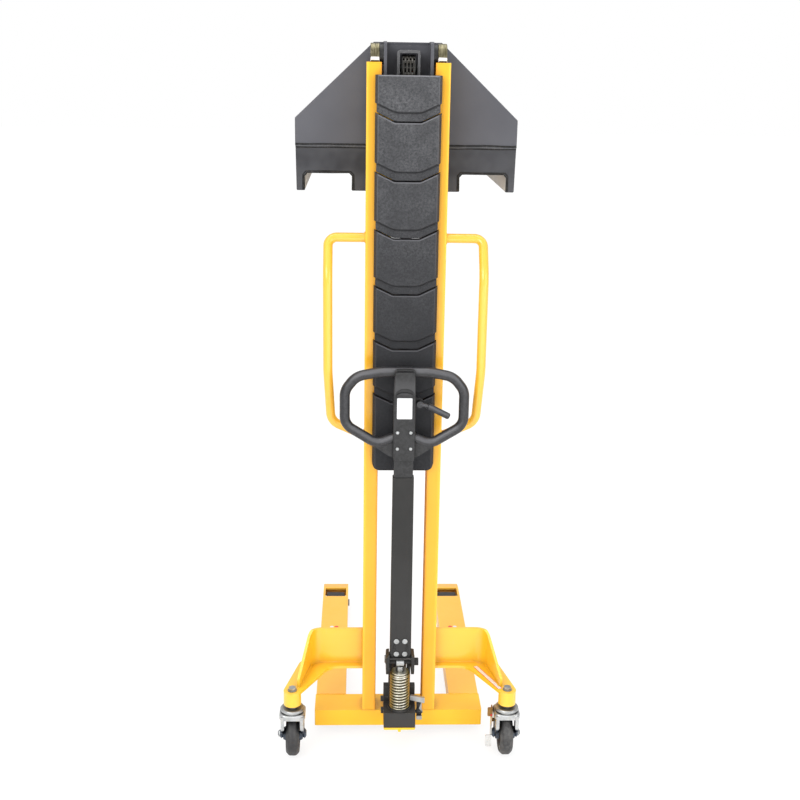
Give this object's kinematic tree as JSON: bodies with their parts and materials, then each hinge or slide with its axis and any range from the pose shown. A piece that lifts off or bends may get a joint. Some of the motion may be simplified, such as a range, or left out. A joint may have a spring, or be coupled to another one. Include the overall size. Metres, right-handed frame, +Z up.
{
  "type": "manual hydraulic stacker",
  "caption": "Hand-pumped hydraulic stacker with a narrow two-upright mast, fork carriage raised to the top, fork-over legs, outrigger castors, pump tiller and segmented mast guard.",
  "frame": {"origin": "floor level, centred between the uprights, halfway between the fork tips and the rear of the castor wheels", "axes": "+Z up, +Y towards the fork tips, -Y towards the operator, +X to the operator's right"},
  "size_m": [0.706, 1.0935, 1.993],
  "materials": {
    "yellow_paint": "amber yellow powder coat, satin gloss",
    "carriage_paint": "dark grey powder coat, satin",
    "black_paint": "black powder coat, satin",
    "guard_plastic": "black moulded plastic with leather grain",
    "moulded_black": "black glass-filled plastic, fine grain",
    "black_steel": "black oxide",
    "zinc": "bright zinc plate",
    "brake_zinc": "yellow passivated zinc plate",
    "bright_steel": "ground steel, lightly oiled",
    "chrome": "hard chrome, polished",
    "spring_steel": "zinc plated spring wire",
    "chain_steel": "oiled dark steel",
    "tyre_rubber": "black rubber",
    "wheel_core": "grey painted cast iron",
    "roller_polymer": "black polyamide"
  },
  "bodies": {
    "frame": {"base_crossmember": "yellow_paint", "left_leg": "yellow_paint", "right_leg": "yellow_paint", "left_upright": "yellow_paint", "right_upright": "yellow_paint", "mast_tie_bars": "yellow_paint", "guard_panel_top": "guard_plastic", "guard_panels_middle": "guard_plastic", "guard_panel_bottom": "guard_plastic", "guard_screws": "black_steel", "left_side_handle": "yellow_paint", "right_side_handle": "yellow_paint", "left_outrigger": "yellow_paint", "right_outrigger": "yellow_paint", "castor_bolts": "zinc", "castor_bearings": "zinc", "load_roller_axles": "zinc", "cylinder_barrel": "black_paint", "gland_nut": "zinc", "pump_body": "black_paint", "tiller_pivot_pin": "zinc", "chain_rear_run": "chain_steel", "pump_spring": "spring_steel"},
    "ram": {"ram_rod": "chrome", "ram_yoke": "black_paint", "pulley_pin": "bright_steel", "chain_wrap": "chain_steel"},
    "pulley": {"chain_pulley": "bright_steel"},
    "carriage": {"carriage_frame": "carriage_paint", "backrest_plate": "carriage_paint", "heel_plate": "carriage_paint", "left_fork": "carriage_paint", "right_fork": "carriage_paint", "chain_front_run": "chain_steel"},
    "upper_roller_left": {"left_upper_roller": "bright_steel"},
    "upper_roller_right": {"right_upper_roller": "bright_steel"},
    "lower_roller_left": {"left_lower_roller": "bright_steel"},
    "lower_roller_right": {"right_lower_roller": "bright_steel"},
    "tiller": {"tiller_bracket": "black_paint", "tiller_shaft": "black_paint", "tiller_head": "moulded_black", "handle_loop": "black_paint", "tiller_rivets": "zinc", "pump_roller_pin": "black_paint"},
    "pressure_roller": {"pump_roller": "zinc"},
    "control_lever": {"control_lever": "moulded_black"},
    "release_rod": {"release_rod": "bright_steel"},
    "plunger": {"pump_plunger": "bright_steel"},
    "valve_lever": {"valve_lever": "zinc"},
    "castor_left": {"left_castor_fork": "zinc", "left_castor_axle": "zinc"},
    "wheel_left": {"left_castor_tyre": "tyre_rubber", "left_castor_core": "wheel_core"},
    "castor_right": {"right_castor_fork": "zinc", "right_castor_axle": "zinc"},
    "wheel_right": {"right_castor_tyre": "tyre_rubber", "right_castor_core": "wheel_core"},
    "brake": {"brake_rocker": "brake_zinc"},
    "load_roller_left": {"left_load_roller": "roller_polymer"},
    "load_roller_right": {"right_load_roller": "roller_polymer"}
  },
  "joints": [
    {"name": "ram_lift", "type": "slide", "parent": "frame", "child": "ram", "axis": [0, 0, 1], "range_m": [-0.785, 0], "deforming": ["chain_rear_run"]},
    {"name": "carriage_lift", "type": "slide", "parent": "ram", "child": "carriage", "axis": [0, 0, 1], "range_m": [-0.785, 0], "deforming": ["chain_front_run"]},
    {"name": "pulley_spin", "type": "hinge", "parent": "ram", "child": "pulley", "pos_m": [0, -0.35225, 1.928], "axis": [1, 0, 0], "continuous": true},
    {"name": "upper_roller_left_spin", "type": "hinge", "parent": "carriage", "child": "upper_roller_left", "pos_m": [-0.0865, -0.35325, 1.96], "axis": [1, 0, 0], "continuous": true},
    {"name": "lower_roller_left_spin", "type": "hinge", "parent": "carriage", "child": "lower_roller_left", "pos_m": [-0.0865, -0.35325, 1.684], "axis": [1, 0, 0], "continuous": true},
    {"name": "upper_roller_right_spin", "type": "hinge", "parent": "carriage", "child": "upper_roller_right", "pos_m": [0.0865, -0.35325, 1.96], "axis": [1, 0, 0], "continuous": true},
    {"name": "lower_roller_right_spin", "type": "hinge", "parent": "carriage", "child": "lower_roller_right", "pos_m": [0.0865, -0.35325, 1.684], "axis": [1, 0, 0], "continuous": true},
    {"name": "tiller_tilt", "type": "hinge", "parent": "frame", "child": "tiller", "pos_m": [0, -0.41425, 0.2643], "axis": [1, 0, 0], "range_deg": [0, 60]},
    {"name": "plunger_stroke", "type": "slide", "parent": "frame", "child": "plunger", "axis": [0, 0, 1], "range_m": [-0.052, 0], "stiffness_N_per_m": 2500, "springref_m": 0.02, "deforming": ["pump_spring"]},
    {"name": "pressure_roller_spin", "type": "hinge", "parent": "tiller", "child": "pressure_roller", "pos_m": [0, -0.46025, 0.281], "axis": [1, 0, 0], "continuous": true},
    {"name": "control_lever_swing", "type": "hinge", "parent": "tiller", "child": "control_lever", "pos_m": [0.042, -0.46025, 1.058], "axis": [0, 1, 0], "range_deg": [-15, 10]},
    {"name": "release_rod_slide", "type": "slide", "parent": "tiller", "child": "release_rod", "axis": [0, 0, 1], "range_m": [-0.006, 0.006]},
    {"name": "valve_lever_swing", "type": "hinge", "parent": "frame", "child": "valve_lever", "pos_m": [0.046, -0.44425, 0.108], "axis": [1, 0, 0], "range_deg": [-12, 12]},
    {"name": "castor_left_swivel", "type": "hinge", "parent": "frame", "child": "castor_left", "pos_m": [-0.309, -0.50025, 0.154], "axis": [0, 0, 1], "continuous": true},
    {"name": "wheel_left_roll", "type": "hinge", "parent": "castor_left", "child": "wheel_left", "pos_m": [-0.309, -0.48425, 0.0625], "axis": [1, 0, 0], "continuous": true},
    {"name": "castor_right_swivel", "type": "hinge", "parent": "frame", "child": "castor_right", "pos_m": [0.309, -0.50025, 0.154], "axis": [0, 0, 1], "continuous": true},
    {"name": "wheel_right_roll", "type": "hinge", "parent": "castor_right", "child": "wheel_right", "pos_m": [0.309, -0.48425, 0.0625], "axis": [1, 0, 0], "continuous": true},
    {"name": "brake_swing", "type": "hinge", "parent": "castor_right", "child": "brake", "pos_m": [0.264, -0.48425, 0.104], "axis": [1, 0, 0], "range_deg": [0, 8]},
    {"name": "load_roller_left_roll", "type": "hinge", "parent": "frame", "child": "load_roller_left", "pos_m": [-0.203, 0.41275, 0.0375], "axis": [1, 0, 0], "continuous": true},
    {"name": "load_roller_right_roll", "type": "hinge", "parent": "frame", "child": "load_roller_right", "pos_m": [0.203, 0.41275, 0.0375], "axis": [1, 0, 0], "continuous": true}
  ],
  "couplings": [
    {"joint": "carriage_lift", "follows": "ram_lift", "ratio": 1},
    {"joint": "pulley_spin", "follows": "ram_lift", "rad_per_m": 34.483},
    {"joint": "upper_roller_left_spin", "follows": "ram_lift", "rad_per_m": -69.444},
    {"joint": "upper_roller_right_spin", "follows": "ram_lift", "rad_per_m": -69.444},
    {"joint": "lower_roller_left_spin", "follows": "ram_lift", "rad_per_m": 69.444},
    {"joint": "lower_roller_right_spin", "follows": "ram_lift", "rad_per_m": 69.444},
    {"joint": "plunger_stroke", "follows": "tiller_tilt", "m_per_rad": -0.0483},
    {"joint": "release_rod_slide", "follows": "control_lever_swing", "m_per_rad": -0.02},
    {"joint": "valve_lever_swing", "follows": "control_lever_swing", "ratio": 0.6}
  ]
}
